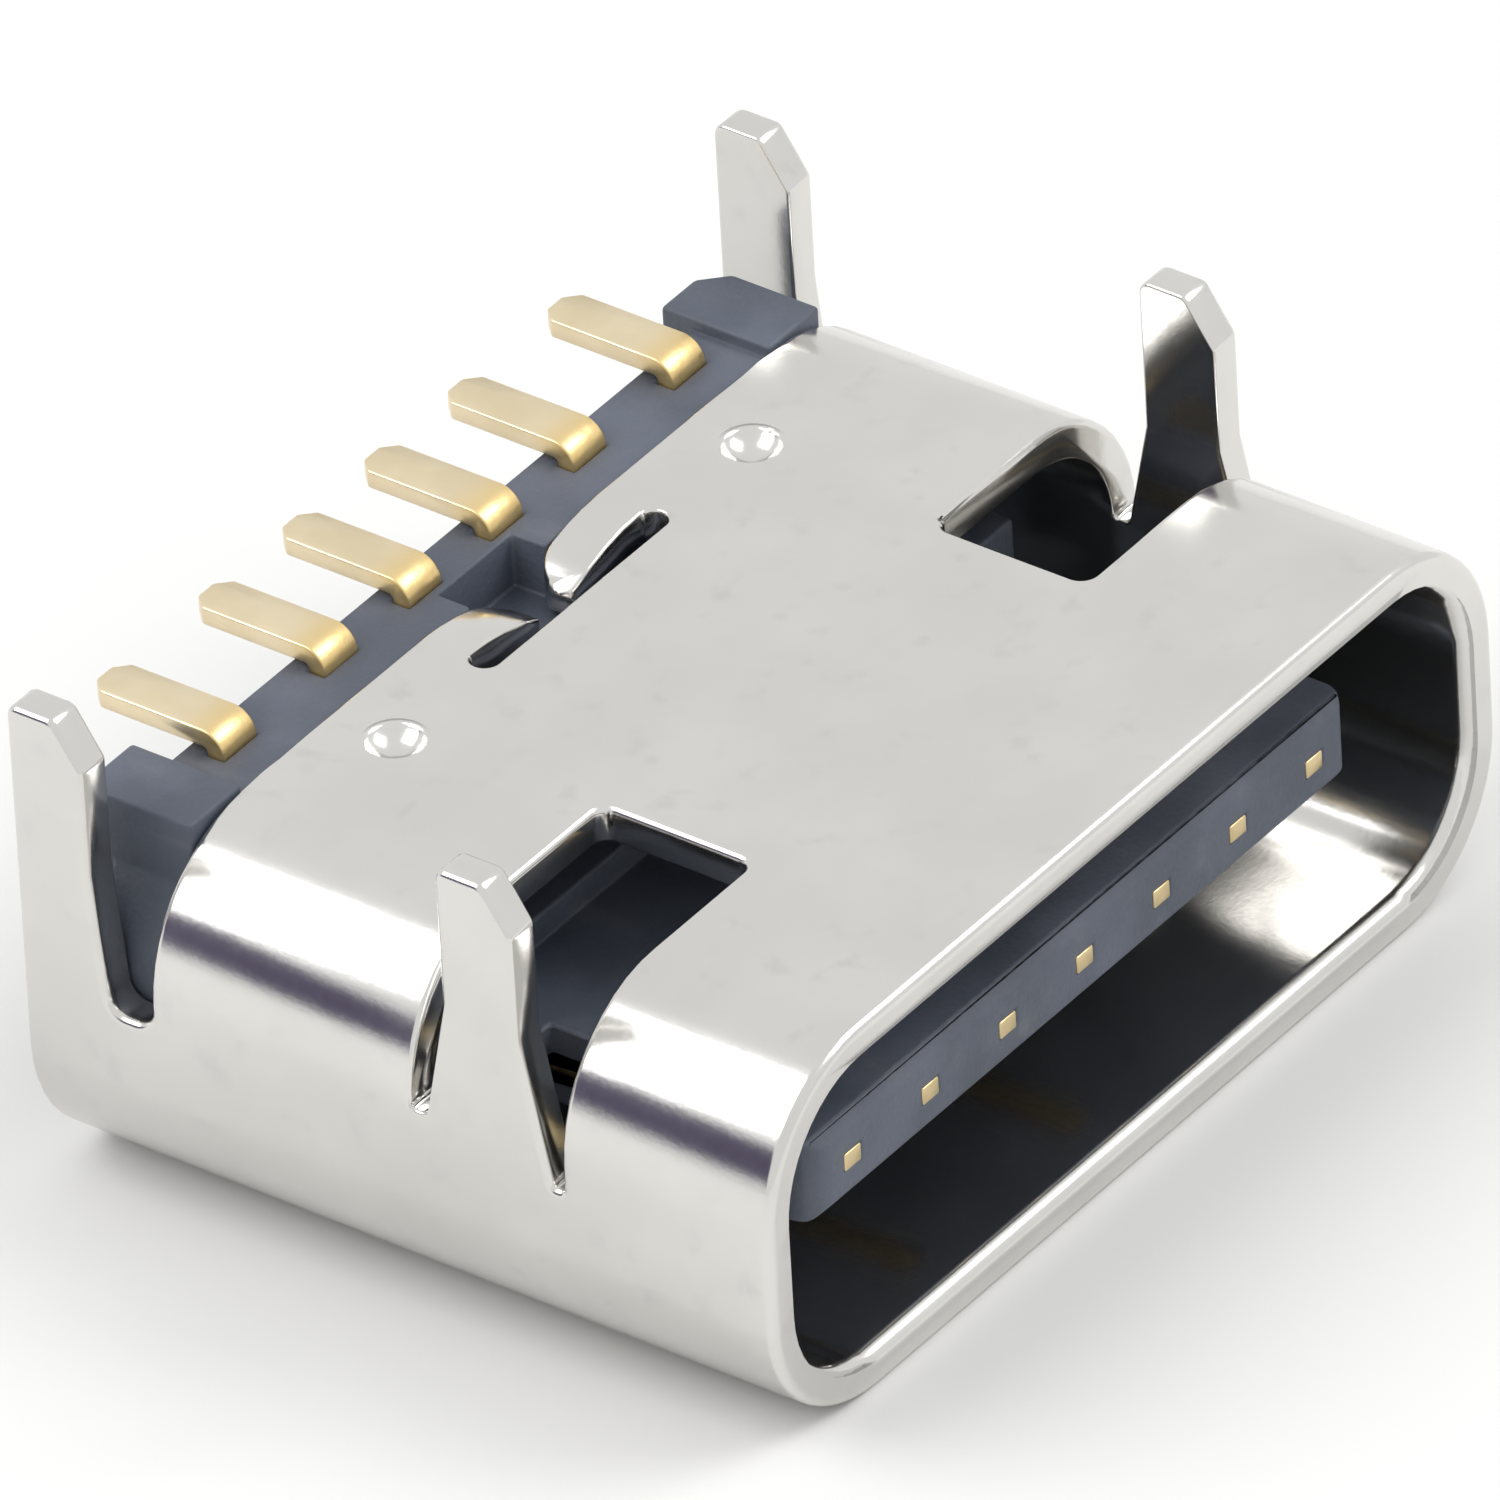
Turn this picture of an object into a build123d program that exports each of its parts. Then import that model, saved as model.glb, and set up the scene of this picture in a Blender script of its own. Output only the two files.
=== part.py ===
"""Six-lead type-C power socket for a circuit board.

It lies on its flat back: the back rests on z = 0, the mouth faces -Y and the side that meets
the board faces +Z, so that its four board legs stand up. X runs across the socket, and the
origin is the middle of the footprint. All sizes are in millimetres. The pieces are drawn with
the mouth at y = 0 and moved to the origin at the end.
"""
from build123d import *
import os

# Shell, a cup of steel drawn into a flat tube and cut open at its end
shell_width = 8.94
shell_height = 3.16
wall = 0.30
corner_radius = 1.19
board_face_length = 5.48
rim_round = 0.08
lead_in_length = 0.16
lead_in_height = 0.06

# Board legs, cut from the board face and left standing in line with the side walls
front_leg_y = 2.50
leg_pitch = 3.80
leg_width = 0.66
leg_tip_height = 4.18
leg_slant_width = 0.25
leg_slant_drop = 0.38
leg_corner_radius = 0.10
leg_flare_height = 2.90
front_leg_flare = 0.21
rear_leg_flare = 0.10

# Windows that the front legs leave in the board face, and the slots beside the legs
window_length = 1.33
window_inner_x = 2.05
window_corner_radius = 0.12
front_slot_bottom = 1.72
relief_slot_bottom = 1.95
rear_slot_bottom = 1.75
slot_end_rounding = 0.42

# Slot near the rear edge of the board face, and the two fingers that it frees, curved down to
# hold the housing
latch_slot_y = 4.95
latch_slot_span = 2.28
latch_slot_width = 0.24
finger_root_x = 1.06
finger_tip_x = 0.20
finger_droop = 0.23
finger_corner_radius = 0.30

# Two dents that pin the shell to the housing
dent_x = 2.18
dent_y = 4.90
dent_diameter = 0.50
dent_depth = 0.16

# Tongue
tongue_width = 6.69
tongue_thickness = 0.70
tongue_front = 0.45
nose_bevel_length = 0.10
nose_height = 0.50
nose_corner_radius = 0.25
tongue_root_front = 3.60
tongue_root_width = 7.10
tongue_root_thickness = 1.16
latch_notch_y = 2.20
latch_notch_length = 0.75
latch_notch_depth = 0.28

# Housing
fit_gap = 0.02
cavity_depth = 4.45
housing_rear = 6.20
plateau_height = 3.06
cheek_height = 3.16
cheek_side_gap = 0.32
cheek_width = 0.62
cheek_rear = 6.48
cheek_chamfer = 0.20

# Pocket of the housing under the fingers, and its narrower part that runs on behind them
pocket_spare = 0.03
pocket_half_width = 0.45
pocket_rear = 5.80

# Mid plate
plate_thickness = 0.15
plate_body_front = 0.80
plate_rear = 5.30
tooth_count = 7
tooth_pitch = 0.95
tooth_width = 0.20

# Moulded inserts that carry the two contact rows
insert_front = 0.86
insert_slab_width = 5.90
contact_sink = 0.05
insert_block_front = 4.60
insert_block_rear = 5.55
insert_block_width = 6.60
insert_block_height = 0.70

# Contacts, of gold-plated copper strip
strip_thickness = 0.15
strip_bend_radius = 0.12
contact_front = 0.95
contact_width = 0.25
contact_nose_length = 0.15
contact_nose_dip = 0.11
jog_start = 4.70
jog_end = 5.30
lead_width = 0.40
lead_face_height = 3.26
lead_root_y = 5.87
lead_tip_y = 7.08
lead_tip_chamfer = 0.11

# Where each contact lies across the tongue, and its lead across the row behind the housing
board_side_contacts = {
    "contact_a5": (-0.75, -0.50),
    "contact_a9": (1.25, 1.52),
    "contact_a12": (2.75, 2.75),
}
back_side_contacts = {
    "contact_b5": (0.75, 0.50),
    "contact_b9": (-1.25, -1.52),
    "contact_b12": (-2.75, -2.75),
}

# Places that follow from the sizes above
mid_height = shell_height / 2
inner_top = shell_height - wall
leg_inner_x = shell_width / 2 - wall
rear_leg_y = front_leg_y + leg_pitch
shell_length = rear_leg_y + leg_width / 2
finger_front = latch_slot_y + latch_slot_width / 2
cheek_outer_x = leg_inner_x - cheek_side_gap
beyond = 1.0


def front_plane(y):
    """Plane across the socket at depth y, with its middle at mid height and its second axis down.

    What is extruded from it goes back, along +Y.
    """
    return Plane(origin=(0, y, mid_height), x_dir=(1, 0, 0), z_dir=(0, 1, 0))


def tube_section(inset):
    """Rounded section of the tube, drawn in by inset from its outside."""
    return RectangleRounded(shell_width - 2 * inset, shell_height - 2 * inset, corner_radius - inset)


def block(x_range, y_range, z_range):
    """Box that fills three ranges."""
    lows, highs = zip(x_range, y_range, z_range)
    centre = [(low + high) / 2 for low, high in zip(lows, highs)]
    return Pos(*centre) * Box(*[high - low for low, high in zip(lows, highs)])


def with_mirror(shape):
    """The shape and its mirror image on the other side of the socket."""
    return [shape, shape.mirror(Plane.YZ)]


def rounded_at(face, corners, radius):
    """The face with the corners nearest to the given points rounded."""
    nearest = [face.vertices().sort_by_distance(Vector(*corner))[0] for corner in corners]
    return fillet(nearest, radius)


def leg_side(flare, height):
    """Distance from a leg's middle line to its side. Below its straight part the leg widens by flare."""
    return leg_width / 2 + flare * max(0, leg_flare_height - height)


def leg_plate(leg_y, flare, rear_flare):
    """Leg from inside the side wall to its tip, a plate in line with the wall.

    Its tip is slanted on the side of the mouth and square on the other.
    """
    foot, half = mid_height, leg_width / 2
    front = [(leg_y - leg_side(flare, foot), foot), (leg_y - half, leg_flare_height)]
    rear = [(leg_y + half, leg_flare_height), (leg_y + leg_side(rear_flare, foot), foot)]
    slant_low = (leg_y - half, leg_tip_height - leg_slant_drop)
    slant_high = (leg_y - half + leg_slant_width, leg_tip_height)
    corners = [slant_low, slant_high, (leg_y + half, leg_tip_height)]
    face = make_face(Polyline(*front, *corners, *rear, close=True))
    face = rounded_at(face, corners, leg_corner_radius)
    return extrude(Plane.YZ.offset(leg_inner_x) * face, amount=wall)


def slot_cut(wall_y, leg_y, flare, bottom):
    """Slot between the wall that ends at wall_y and a leg, with the corners of its end rounded."""
    side = 1 if wall_y > leg_y else -1
    foot_y = leg_y + side * leg_side(flare, bottom)
    straight_y = leg_y + side * leg_width / 2
    corners = [(wall_y, bottom), (foot_y, bottom)]
    outline = [(wall_y, shell_height), *corners, (straight_y, leg_flare_height), (straight_y, shell_height)]
    face = make_face(Polyline(*outline, close=True))
    face = rounded_at(face, corners, slot_end_rounding * abs(foot_y - wall_y))
    return extrude(Plane.YZ.offset(leg_inner_x - wall) * face, amount=2 * wall + beyond)


def dent_sphere(extra):
    """Ball that presses a dent into the board face, larger by extra."""
    radius = (dent_diameter**2 / 4 + dent_depth**2) / (2 * dent_depth)
    centre = Pos(dent_x, dent_y, shell_height - dent_depth + radius)
    return centre * Sphere(radius + extra)


def latch_cut():
    """Slot across the rear of the board face, and the room behind it that the fingers take."""
    slot = Pos(0, latch_slot_y) * SlotOverall(latch_slot_span, latch_slot_width)
    room_length = board_face_length + beyond - latch_slot_y
    return slot + Pos(0, latch_slot_y + room_length / 2) * Rectangle(2 * finger_root_x, room_length)


def latch_finger():
    """Finger of the board face behind the slot, curved down from its root to its rounded tip."""
    start, drop = finger_root_x + wall, wall / 2 - mid_height
    root, tip = (finger_root_x, drop), (finger_tip_x, drop + finger_droop)
    line = Line((start, drop), root) + TangentArc(root, tip, tangent=(-1, 0))
    width, length = start - finger_tip_x, board_face_length - finger_front
    strip = extrude(front_plane(finger_front) * trace(line, wall), amount=length)
    plan = Pos(finger_tip_x + width / 2, finger_front + length / 2) * Rectangle(width, length)
    plan = rounded_at(plan, [(finger_tip_x, board_face_length)], finger_corner_radius)
    return strip & extrude(plan, amount=shell_height)


def make_shell():
    """Drawn tube with its rim, windows, legs, latch fingers and dents."""
    tube = extrude(front_plane(0) * tube_section(0), amount=shell_length)
    tube = fillet(tube.faces().sort_by(Axis.Y)[0].edges(), rim_round)
    tube -= extrude(front_plane(-beyond) * tube_section(wall), amount=shell_length + 2 * beyond)
    mouth = front_plane(0) * tube_section(wall - lead_in_height)
    tube -= loft([mouth, front_plane(lead_in_length) * tube_section(wall)])

    outside_x = shell_width / 2 + beyond
    bend_start = shell_height - corner_radius
    window_front = front_leg_y - window_length / 2
    window_rear = front_leg_y + window_length / 2
    window = RectangleRounded(outside_x - window_inner_x, window_length, window_corner_radius)
    window = Pos((outside_x + window_inner_x) / 2, front_leg_y) * window
    tube -= with_mirror(extrude(Plane.XY.offset(bend_start) * window, amount=shell_height))
    rear_range = (board_face_length, shell_length + beyond)
    tube -= block((-outside_x, outside_x), rear_range, (bend_start, shell_height + beyond))

    tube -= with_mirror(slot_cut(window_front, front_leg_y, front_leg_flare, front_slot_bottom))
    tube -= with_mirror(slot_cut(window_rear, front_leg_y, front_leg_flare, relief_slot_bottom))
    tube -= with_mirror(slot_cut(board_face_length, rear_leg_y, rear_leg_flare, rear_slot_bottom))
    tube += with_mirror(leg_plate(front_leg_y, front_leg_flare, front_leg_flare))
    tube += with_mirror(leg_plate(rear_leg_y, rear_leg_flare, 0))

    tube -= extrude(Plane.XY.offset(mid_height) * latch_cut(), amount=shell_height)
    tube += with_mirror(latch_finger())
    bump = dent_sphere(wall) & block((0, shell_width), (0, shell_length), (mid_height, inner_top + wall / 2))
    tube += with_mirror(bump)
    tube -= with_mirror(dent_sphere(0))
    return tube


def strip_path(row_height, nose_end_height):
    """Middle line of a contact in (y, z), from its nose to the tip of its lead."""
    lead_height = lead_face_height - strip_thickness / 2
    riser_y = lead_root_y + strip_thickness / 2
    return FilletPolyline(
        (contact_front, nose_end_height),
        (contact_front + contact_nose_length, row_height),
        (riser_y, row_height),
        (riser_y, lead_height),
        (lead_tip_y, lead_height),
        radius=strip_bend_radius,
    )


def make_contact(contact_x, lead_x, outward):
    """Strip with its nose, beam, sideways jog, riser and solder lead.

    outward is 1 for the row on the board side of the tongue and -1 for the row on its back.
    """
    row_height = mid_height + outward * (tongue_thickness - strip_thickness) / 2
    side = trace(strip_path(row_height, row_height - outward * contact_nose_dip), strip_thickness)
    beam, lead = contact_width / 2, lead_width / 2
    tip_start = lead_tip_y - lead_tip_chamfer
    left = [(contact_x - beam, 0), (contact_x - beam, jog_start), (lead_x - lead, jog_end)]
    left += [(lead_x - lead, tip_start), (lead_x - lead + lead_tip_chamfer, lead_tip_y)]
    right = [(contact_x + beam, 0), (contact_x + beam, jog_start), (lead_x + lead, jog_end)]
    right += [(lead_x + lead, tip_start), (lead_x + lead - lead_tip_chamfer, lead_tip_y)]
    plan = make_face(Polyline(*left, *reversed(right), close=True))
    bent_strip = extrude(Plane.YZ * side, amount=shell_width / 2, both=True)
    return bent_strip & extrude(plan, amount=shell_height + beyond)


def tongue_plan():
    """Outline of the tongue from above, with the two notches where a plug's side latches click in."""
    length = housing_rear - tongue_front
    outline = Pos(0, tongue_front + length / 2) * Rectangle(tongue_width, length)
    outline = fillet(outline.vertices().group_by(Axis.Y)[0], nose_corner_radius)
    notch = Rectangle(2 * latch_notch_depth, latch_notch_length)
    notch = Pos(tongue_width / 2, latch_notch_y + latch_notch_length / 2) * notch
    return outline - with_mirror(notch)


def make_mid_plate():
    """Sheet between the two rows. Its teeth end at the tongue's nose, its sides at the tongue's sides."""
    half = tongue_width / 2
    thickness = (mid_height - plate_thickness / 2, mid_height + plate_thickness / 2)
    plate = block((-half, half), (plate_body_front, plate_rear), thickness)
    for number in range(tooth_count):
        x = (number - (tooth_count - 1) / 2) * tooth_pitch
        tooth_x = (x - tooth_width / 2, x + tooth_width / 2)
        plate += block(tooth_x, (tongue_front, plate_body_front), thickness)
    return plate & extrude(tongue_plan(), amount=shell_height)


def make_insert(outward, embedded):
    """Moulding under one row: a slab inside the tongue and a block behind it."""
    plate_face = mid_height + outward * plate_thickness / 2
    strip_back = mid_height + outward * (tongue_thickness / 2 - strip_thickness)
    slab_z = sorted((plate_face, strip_back + outward * contact_sink))
    block_z = sorted((plate_face, plate_face + outward * insert_block_height))
    slab_x, block_x = insert_slab_width / 2, insert_block_width / 2
    insert = block((-slab_x, slab_x), (insert_front, insert_block_front), slab_z)
    insert += block((-block_x, block_x), (insert_block_front, insert_block_rear), block_z)
    return insert - embedded


def make_housing(embedded):
    """Last moulding: tongue, stop face, rear block and cheeks, poured round what it embeds."""
    mid, top, nose = mid_height, tongue_thickness / 2, nose_height / 2
    bevel_end = tongue_front + nose_bevel_length
    section = Polyline(
        (tongue_front, mid - nose), (bevel_end, mid - top), (housing_rear, mid - top),
        (housing_rear, mid + top), (bevel_end, mid + top), (tongue_front, mid + nose), close=True,
    )
    tongue = extrude(Plane.YZ * make_face(section), amount=tongue_width, both=True)
    tongue &= extrude(tongue_plan(), amount=shell_height)
    root_half, root_top = tongue_root_width / 2, tongue_root_thickness / 2
    root_z = (mid - root_top, mid + root_top)
    tongue += block((-root_half, root_half), (tongue_root_front, cavity_depth), root_z)

    body_section = front_plane(cavity_depth) * tube_section(wall + fit_gap)
    body = extrude(body_section, amount=housing_rear - cavity_depth)
    behind_face = board_face_length + fit_gap
    body += block((-cheek_outer_x, cheek_outer_x), (behind_face, housing_rear), (mid, plateau_height))
    cheek_x, cheek_y = (cheek_outer_x - cheek_width, cheek_outer_x), (behind_face, cheek_rear)
    cheek = extrude(body_section, amount=cheek_rear - cavity_depth) & block(cheek_x, cheek_y, (0, mid))
    cheek += block(cheek_x, cheek_y, (mid, cheek_height))
    corner = cheek.edges().filter_by(Axis.Z).group_by(Axis.X)[-1].group_by(Axis.Y)[-1]
    body += with_mirror(chamfer(corner, cheek_chamfer))

    pocket_z = (inner_top - finger_droop - pocket_spare, shell_height)
    finger_space = latch_slot_span / 2 + pocket_spare
    body -= block((-finger_space, finger_space), (latch_slot_y, behind_face), pocket_z)
    body -= block((-pocket_half_width, pocket_half_width), (latch_slot_y, pocket_rear), pocket_z)
    body -= with_mirror(dent_sphere(wall + fit_gap))
    return tongue + body - embedded


def make_socket():
    """Every piece by name."""
    contacts = {}
    rows = {}
    for outward, row in ((1, board_side_contacts), (-1, back_side_contacts)):
        made = {name: make_contact(*places, outward) for name, places in row.items()}
        rows[outward] = list(made.values())
        contacts.update(made)
    plate = make_mid_plate()
    inserts = {outward: make_insert(outward, rows[outward]) for outward in (1, -1)}
    embedded = [plate, *inserts.values(), *contacts.values()]
    return {
        "shell": make_shell(),
        "housing": make_housing(embedded),
        "board_side_insert": inserts[1],
        "back_side_insert": inserts[-1],
        "mid_plate": plate,
        **contacts,
    }


os.makedirs("parts", exist_ok=True)
to_origin = Pos(0, -lead_tip_y / 2, 0)
for name, piece in make_socket().items():
    export_step(to_origin * piece, f"parts/{name}.step")
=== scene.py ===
import math

import bpy
from mathutils import Matrix, Vector


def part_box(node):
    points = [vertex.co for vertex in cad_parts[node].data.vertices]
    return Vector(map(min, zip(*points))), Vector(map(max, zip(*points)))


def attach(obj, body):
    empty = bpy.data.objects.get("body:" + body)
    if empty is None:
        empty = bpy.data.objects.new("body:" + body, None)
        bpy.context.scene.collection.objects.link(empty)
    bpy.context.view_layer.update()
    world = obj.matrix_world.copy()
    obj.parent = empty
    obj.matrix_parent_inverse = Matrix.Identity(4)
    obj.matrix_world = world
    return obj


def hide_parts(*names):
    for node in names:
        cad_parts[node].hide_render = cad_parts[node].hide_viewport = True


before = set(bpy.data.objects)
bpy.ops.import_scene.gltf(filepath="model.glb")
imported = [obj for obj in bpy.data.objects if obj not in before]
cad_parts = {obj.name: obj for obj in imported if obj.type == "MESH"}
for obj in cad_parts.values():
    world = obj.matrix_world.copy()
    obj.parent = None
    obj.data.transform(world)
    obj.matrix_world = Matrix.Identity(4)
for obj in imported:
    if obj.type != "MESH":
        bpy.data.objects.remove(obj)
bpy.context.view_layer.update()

# Contacts: six strips of copper alloy, stamped and bent, with a thin gold plate. The mouldings hold
# their middles, their fronts lie bare in the tongue's faces and their leads reach out at the back.
mm = 0.001
contact_names = ["contact_a5", "contact_a9", "contact_a12", "contact_b5", "contact_b9", "contact_b12"]


def fill(socket, value):
    """Links or sets an input socket. A colour is given as red, green and blue."""
    if isinstance(value, Link):
        value.tree.links.new(value.socket, socket)
    else:
        socket.default_value = (*value, 1.0) if socket.type == "RGBA" else value


class Link:
    """A shader socket that takes part in sums. The method node adds any other kind of node."""

    def __init__(self, tree, socket=None):
        self.tree = tree
        self.socket = socket

    def node(self, kind, settings=None, inputs=None, output=0):
        """Adds a node, sets it up first, then fills its inputs, and gives one of its outputs."""
        made = self.tree.nodes.new(kind)
        for name, value in (settings or {}).items():
            setattr(made, name, value)
        for name, value in (inputs or {}).items():
            fill(made.inputs[name], value)
        return Link(self.tree, made.outputs[output])

    def maths(self, operation, first, second):
        return self.node("ShaderNodeMath", {"operation": operation}, {0: first, 1: second})

    def __add__(self, other):
        return self.maths("ADD", self, other)

    def __radd__(self, other):
        return self.maths("ADD", other, self)

    def __sub__(self, other):
        return self.maths("SUBTRACT", self, other)

    def __rsub__(self, other):
        return self.maths("SUBTRACT", other, self)

    def __mul__(self, other):
        return self.maths("MULTIPLY", self, other)

    def __rmul__(self, other):
        return self.maths("MULTIPLY", other, self)

    def steps(self, low, high):
        """Smooth rise from 0 at low to 1 at high."""
        ends = {"Value": self, "From Min": low, "From Max": high}
        return self.node("ShaderNodeMapRange", {"interpolation_type": "SMOOTHSTEP"}, ends)

    def axis(self, name):
        """One coordinate of a place."""
        return self.node("ShaderNodeSeparateXYZ", {}, {"Vector": self}, output=name)

    def noise(self, scale, detail=3.0, stretch=(1, 1, 1)):
        """Noise on a place in millimetres, with scale bumps per millimetre."""
        place = self.node("ShaderNodeVectorMath", {"operation": "MULTIPLY"}, {0: self, 1: stretch})
        return self.node("ShaderNodeTexNoise", {}, {"Vector": place, "Scale": scale, "Detail": detail})

    def mixed(self, first, second):
        """Colour between two, where self is the share of the second."""
        factor, first_colour, second_colour, colour_result = 0, 6, 7, 2
        inputs = {factor: self, first_colour: first, second_colour: second}
        return self.node("ShaderNodeMix", {"data_type": "RGBA"}, inputs, output=colour_result)


def new_material(name):
    """Empty material, its main shader and the places on the piece in millimetres."""
    material = bpy.data.materials.new(name)
    material.use_nodes = True
    tree = material.node_tree
    start = Link(tree)
    place = start.node("ShaderNodeTexCoord", output="Object")
    place = start.node("ShaderNodeVectorMath", {"operation": "SCALE"}, {0: place, "Scale": 1 / mm})
    return material, tree.nodes["Principled BSDF"], place


def feed(shader, **values):
    """Fills the main shader's sockets, which are named with _ for a space."""
    for name, value in values.items():
        fill(shader.inputs[name.replace("_", " ")], value)


def bumped(height, depth):
    """Normal of a surface whose height, from 0 to 1, stands for depth in millimetres."""
    return height.node("ShaderNodeBump", {}, {"Height": height, "Distance": depth * mm, "Strength": 1.0})


def joined_copy(node_name, name):
    """Copy of a CAD node with its triangles joined and its flat faces made whole."""
    piece = bpy.data.objects.new(name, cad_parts[node_name].data.copy())
    bpy.context.scene.collection.objects.link(piece)
    bpy.ops.object.select_all(action="DESELECT")
    piece.select_set(True)
    bpy.context.view_layer.objects.active = piece
    bpy.ops.object.mode_set(mode="EDIT")
    bpy.ops.mesh.select_all(action="SELECT")
    bpy.ops.mesh.remove_doubles(threshold=0.001 * mm)
    bpy.ops.mesh.dissolve_limited(angle_limit=math.radians(0.5), delimit={"NORMAL"})
    bpy.ops.object.mode_set(mode="OBJECT")
    piece.data.materials.clear()
    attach(piece, "root")
    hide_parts(node_name)
    return piece


def rounded_edges(piece, radius, segments, sharpest=35, share=None):
    """Rounds the edges that turn by more than sharpest degrees.

    share gives the part of the radius that a place allows, and an edge takes the lesser of its ends.
    """
    bpy.ops.object.mode_set(mode="EDIT")
    bpy.ops.mesh.select_mode(type="EDGE")
    bpy.ops.mesh.select_all(action="DESELECT")
    bpy.ops.mesh.edges_select_sharp(sharpness=math.radians(sharpest))
    bpy.ops.object.mode_set(mode="OBJECT")
    mesh = piece.data
    weights = mesh.attributes.new("bevel_weight_edge", "FLOAT", "EDGE")
    for edge in mesh.edges:
        if edge.select:
            ends = [mesh.vertices[end].co / mm for end in edge.vertices]
            weights.data[edge.index].value = min(share(end) for end in ends) if share else 1.0
    bevel = piece.modifiers.new("edges", "BEVEL")
    bevel.width = radius * mm
    bevel.segments = segments
    bevel.limit_method = "WEIGHT"
    bevel.use_clamp_overlap = False
    bpy.ops.object.modifier_apply(modifier="edges")
    mesh.attributes.remove(mesh.attributes["bevel_weight_edge"])


def smoothed(piece, sharpest=35):
    """Smooth shading over bends, with each flat face's own direction kept."""
    bpy.ops.object.shade_smooth_by_angle(angle=math.radians(sharpest))
    weigh = piece.modifiers.new("flat faces first", "WEIGHTED_NORMAL")
    weigh.keep_sharp = True
    weigh.weight = 100
    bpy.ops.object.modifier_apply(modifier="flat faces first")


gold, shader, place = new_material("gold_plate")
cloud = place.noise(1.6)
grain = place.noise(14, 4, (1, 0.3, 1))
lead_bend = place.axis("Y").steps(2.78, 2.36)
colour = cloud.steps(0.35, 0.7).mixed((0.76, 0.64, 0.43), (0.82, 0.70, 0.49))
colour = lead_bend.mixed(colour, (0.82, 0.61, 0.28))
feed(shader, Base_Color=colour, Metallic=1.0, Roughness=0.30 + 0.14 * grain)
feed(shader, Normal=bumped(grain, 0.004))
for node_name in contact_names:
    piece = joined_copy(node_name, node_name + "_strip")
    rounded_edges(piece, 0.016, 2)
    smoothed(piece)
    piece.data.materials.append(gold)

# Mid plate: thin steel sheet that lies between the two contact rows. It stiffens the tongue, and its
# seven teeth, left where it was cut from its strip, end bare in the tongue's nose.
steel, shader, place = new_material("plate_steel")
grain = place.noise(16, 4)
colour = place.noise(3).steps(0.35, 0.7).mixed((0.60, 0.48, 0.27), (0.74, 0.60, 0.35))
feed(shader, Base_Color=colour, Metallic=1.0, Roughness=0.28 + 0.2 * grain)
feed(shader, Normal=bumped(grain, 0.004))
piece = joined_copy("mid_plate", "tongue_plate")
rounded_edges(piece, 0.015, 2)
smoothed(piece)
piece.data.materials.append(steel)

# Inserts: two small mouldings of glass-filled plastic, one under each contact row. They hold the
# strips in place while the housing is moulded round them.
plastic, shader, place = new_material("moulded_plastic")
cloud = place.noise(1.1)
grain = place.noise(22, 5)
flow = place.noise(2.4, 3, (1, 0.25, 1))
colour = cloud.steps(0.35, 0.7).mixed((0.055, 0.066, 0.092), (0.083, 0.096, 0.130))
colour = flow.steps(0.55, 0.8).mixed(colour, (0.098, 0.108, 0.130))
feed(shader, Base_Color=colour, Roughness=0.46 + 0.2 * grain, IOR=1.58)
feed(shader, Normal=bumped(grain, 0.006))
for node_name in ("board_side_insert", "back_side_insert"):
    piece = joined_copy(node_name, node_name + "_moulding")
    rounded_edges(piece, 0.01, 1)
    smoothed(piece)
    piece.data.materials.append(plastic)

# Housing: the last moulding, of the same plastic, poured round contacts, plate and inserts. It is
# the tongue with its bevelled nose, the stop face, and the block with its two cheeks behind.
piece = joined_copy("housing", "housing_moulding")
rounded_edges(piece, 0.03, 2)
smoothed(piece)
piece.data.materials.append(plastic)

# Shell: a cup of steel, drawn into a flat tube without a seam, cut open at its end and plated with
# nickel. Punching leaves its cut edges round on the outside. Two dents and the fingers beside the
# latch slot hold it on the housing, and its legs stand in line with its side walls.
board_face_height = 3.16
bend_radius = 1.19
half_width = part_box("shell")[1].x / mm
half_height = board_face_height / 2
leg_inner_x = 4.1
latch_reach_x, latch_reach_y = 2.5, 0.95
relief_slot_front, relief_slot_rear, relief_slot_end = -0.53, -0.36, 1.98
closeness = 0.004


def outside_share(spot):
    """Share of the rounding that a place on the shell allows.

    All of it on the tube's outside and on a leg's outer face, less towards the narrow end of the
    slot behind a front leg, and none on the inside or round the latch slot.
    """
    over_x = abs(spot.x) - (half_width - bend_radius)
    over_z = abs(spot.z - half_height) - (half_height - bend_radius)
    depth = math.hypot(max(over_x, 0), max(over_z, 0)) + min(max(over_x, over_z), 0) - bend_radius
    on_tube, on_leg = abs(depth) <= closeness, abs(abs(spot.x) - half_width) <= closeness
    near_latch = abs(spot.x) < latch_reach_x and spot.y > latch_reach_y
    if near_latch or not (on_tube or on_leg):
        return 0.0
    in_relief_slot = abs(spot.x) > leg_inner_x and relief_slot_front < spot.y < relief_slot_rear
    return min(1.0, 0.4 + max(0.0, spot.z - relief_slot_end)) if in_relief_slot else 1.0


nickel, shader, place = new_material("satin_nickel")
cloud = place.noise(0.9, 3)
blotch = place.noise(3.2, 4)
grain = place.noise(26, 5)
drawn = place.noise(9, 3, (1, 0.12, 1))
colour = cloud.steps(0.3, 0.75).mixed((0.68, 0.665, 0.64), (0.72, 0.705, 0.68))
colour = blotch.steps(0.55, 0.85).mixed(colour, (0.63, 0.615, 0.60))
feed(shader, Base_Color=colour, Metallic=1.0, Roughness=0.12 + 0.06 * grain + 0.04 * cloud)
feed(shader, Normal=bumped(grain * 0.2 + blotch * 0.6 + drawn * 0.3, 0.002))
piece = joined_copy("shell", "pressed_shell")
rounded_edges(piece, 0.06, 4, sharpest=70, share=outside_share)
rounded_edges(piece, 0.025, 2, sharpest=70)
smoothed(piece, 62)
piece.data.materials.append(nickel)

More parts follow.
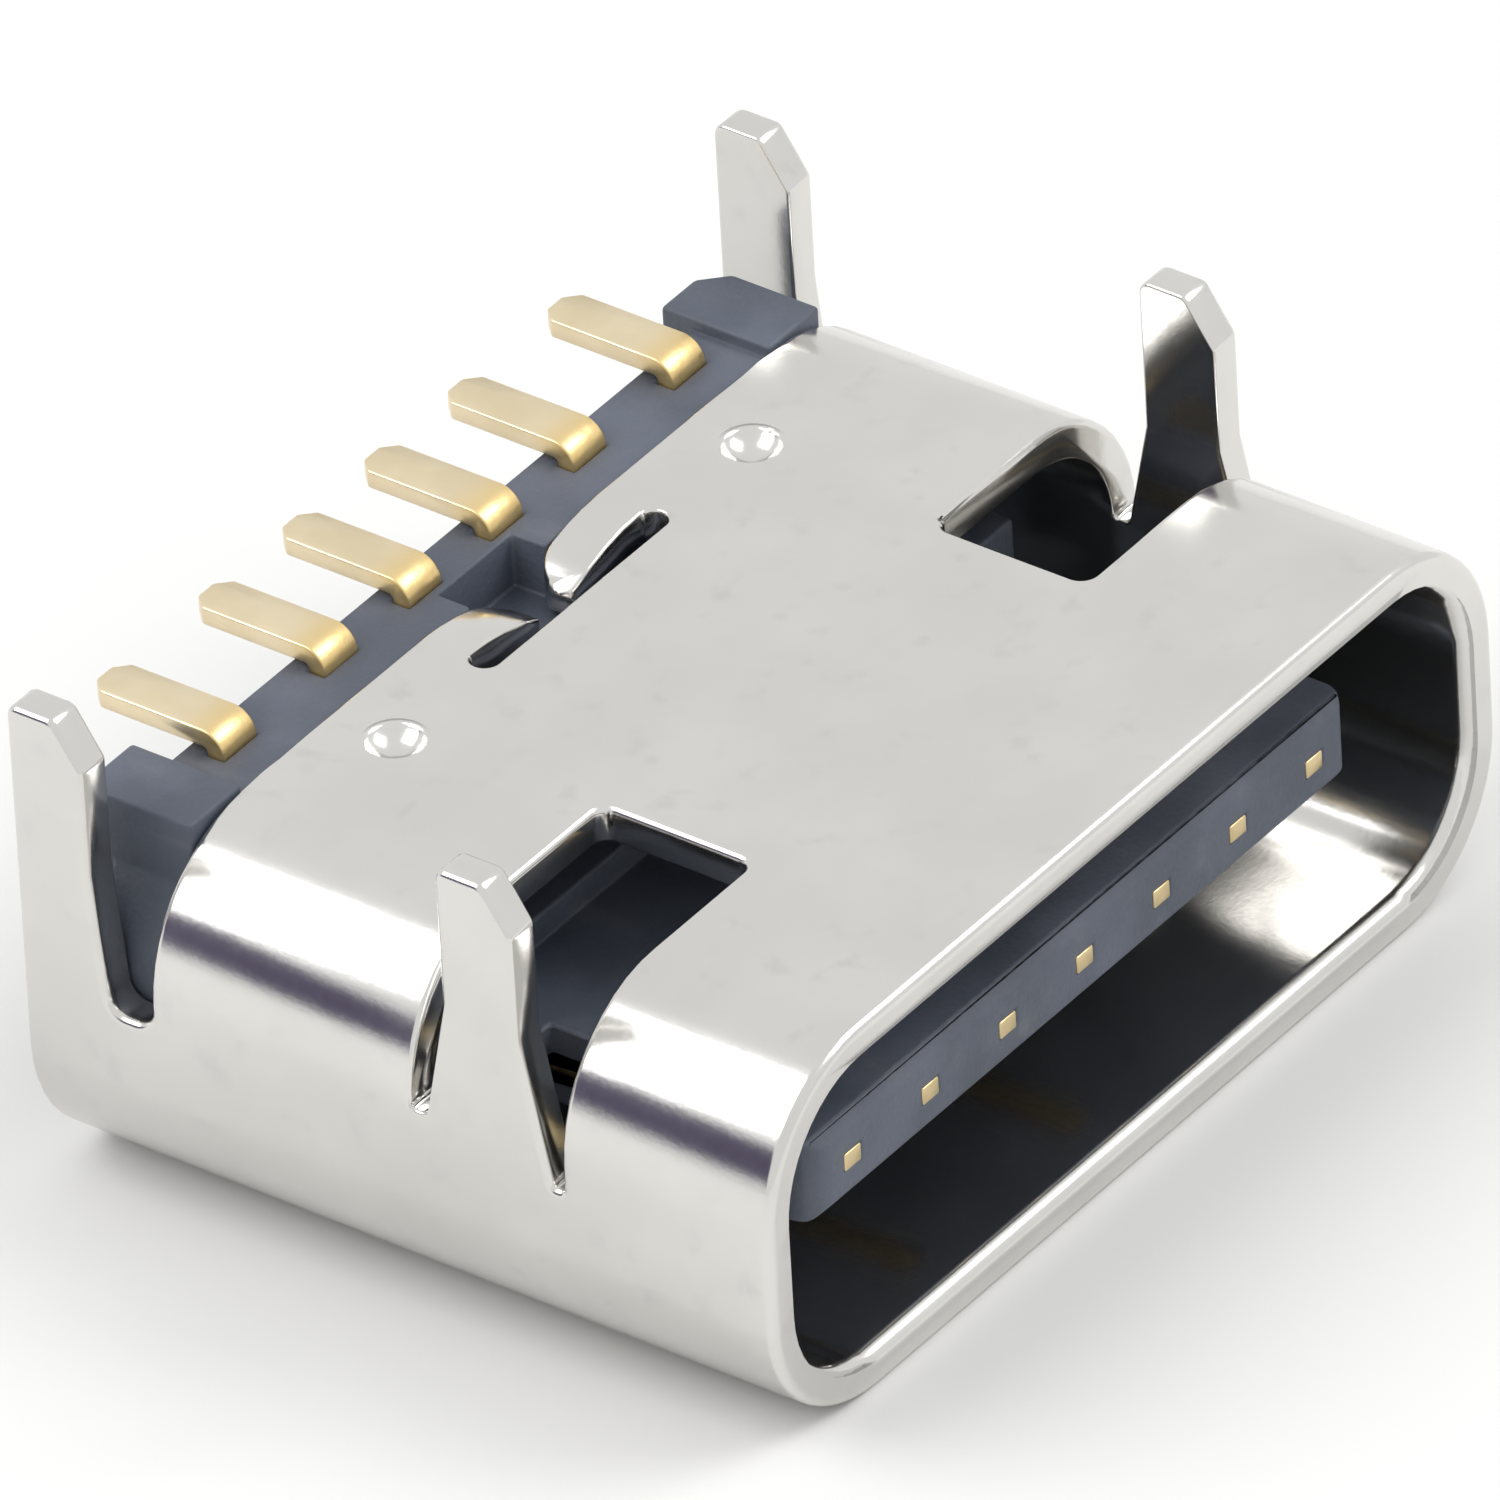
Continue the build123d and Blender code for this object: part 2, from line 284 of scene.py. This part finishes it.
# Table: a plain pale board under the socket.
bpy.ops.object.select_all(action="DESELECT")
bpy.ops.mesh.primitive_plane_add(size=2.0, location=(0, 0, 0))
table = bpy.context.active_object
table.name = "table"
card, shader, place = new_material("pale_card")
colour = place.noise(0.05).steps(0.3, 0.7).mixed((0.71, 0.705, 0.695), (0.73, 0.725, 0.715))
feed(shader, Base_Color=colour, Roughness=0.8)
table.data.materials.append(card)

# Light: a plain pale room with a low dark screen behind on the left, which the bend of the near side
# shows as a band, a large soft box overhead and a weaker one in front.
room_light, screen_dark = (0.91, 0.92, 0.92), (0.08, 0.065, 0.13)
towards_screen = (-0.82, 0.57, 0)
world = bpy.data.worlds.new("studio")
bpy.context.scene.world = world
world.use_nodes = True
sky = Link(world.node_tree)
outward = sky.node("ShaderNodeTexCoord", output="Generated")
both = {0: outward, 1: towards_screen}
nearness = sky.node("ShaderNodeVectorMath", {"operation": "DOT_PRODUCT"}, both, output="Value")
up = outward.axis("Z")
screen = up.steps(0, 0.13) * (1 - up.steps(0.38, 0.46)) * nearness.steps(0.80, 0.93)
fill(world.node_tree.nodes["Background"].inputs["Color"], screen.mixed(room_light, screen_dark))


def soft_box(name, towards, along, distance, width, height, power):
    """Lamp that stands off in one direction and faces the socket, with its width along another."""
    lamp = bpy.data.lights.new(name, "AREA")
    lamp.shape = "RECTANGLE"
    lamp.size = width * mm
    lamp.size_y = height * mm
    lamp.energy = power
    holder = bpy.data.objects.new(name, lamp)
    bpy.context.scene.collection.objects.link(holder)
    away = Vector(towards).normalized()
    side = Vector(along).normalized()
    faced = Matrix((side, away.cross(side), away)).transposed()
    holder.matrix_world = Matrix.Translation(away * distance * mm) @ faced.to_4x4()


soft_box("overhead", towards=(-0.456, 0.501, 0.736), along=(0.850, 0, 0.527),
         distance=150, width=103, height=110, power=0.107)
soft_box("front_fill", towards=(0.45, -0.50, 0.74), along=(0.743, 0.669, 0),
         distance=200, width=100, height=100, power=0.16)

# Camera: a long lens that looks down at the socket from the front left, as in the photograph. The
# plain view transform shows the colours as they are.
azimuth, elevation, roll = (math.radians(angle) for angle in (-52.18, 35.28, -3.30))
target = Vector((0.02, -0.14, 2.30)) * mm
distance = 300 * mm
frame_width = 10.802 * mm
level = math.cos(elevation)
right = Vector((math.cos(azimuth), math.sin(azimuth), 0))
back = Vector((math.sin(azimuth) * level, -math.cos(azimuth) * level, math.sin(elevation)))
turn = Matrix((right, back.cross(right), back)).transposed() @ Matrix.Rotation(roll, 3, "Z")
lens = bpy.data.cameras.new("camera")
lens.sensor_width = 36
lens.lens = lens.sensor_width * distance / frame_width
lens.clip_start = 10 * mm
camera = bpy.data.objects.new("camera", lens)
camera.matrix_world = Matrix.Translation(target + back * distance) @ turn.to_4x4()
bpy.context.scene.collection.objects.link(camera)
bpy.context.scene.camera = camera
bpy.context.scene.view_settings.view_transform = "Standard"
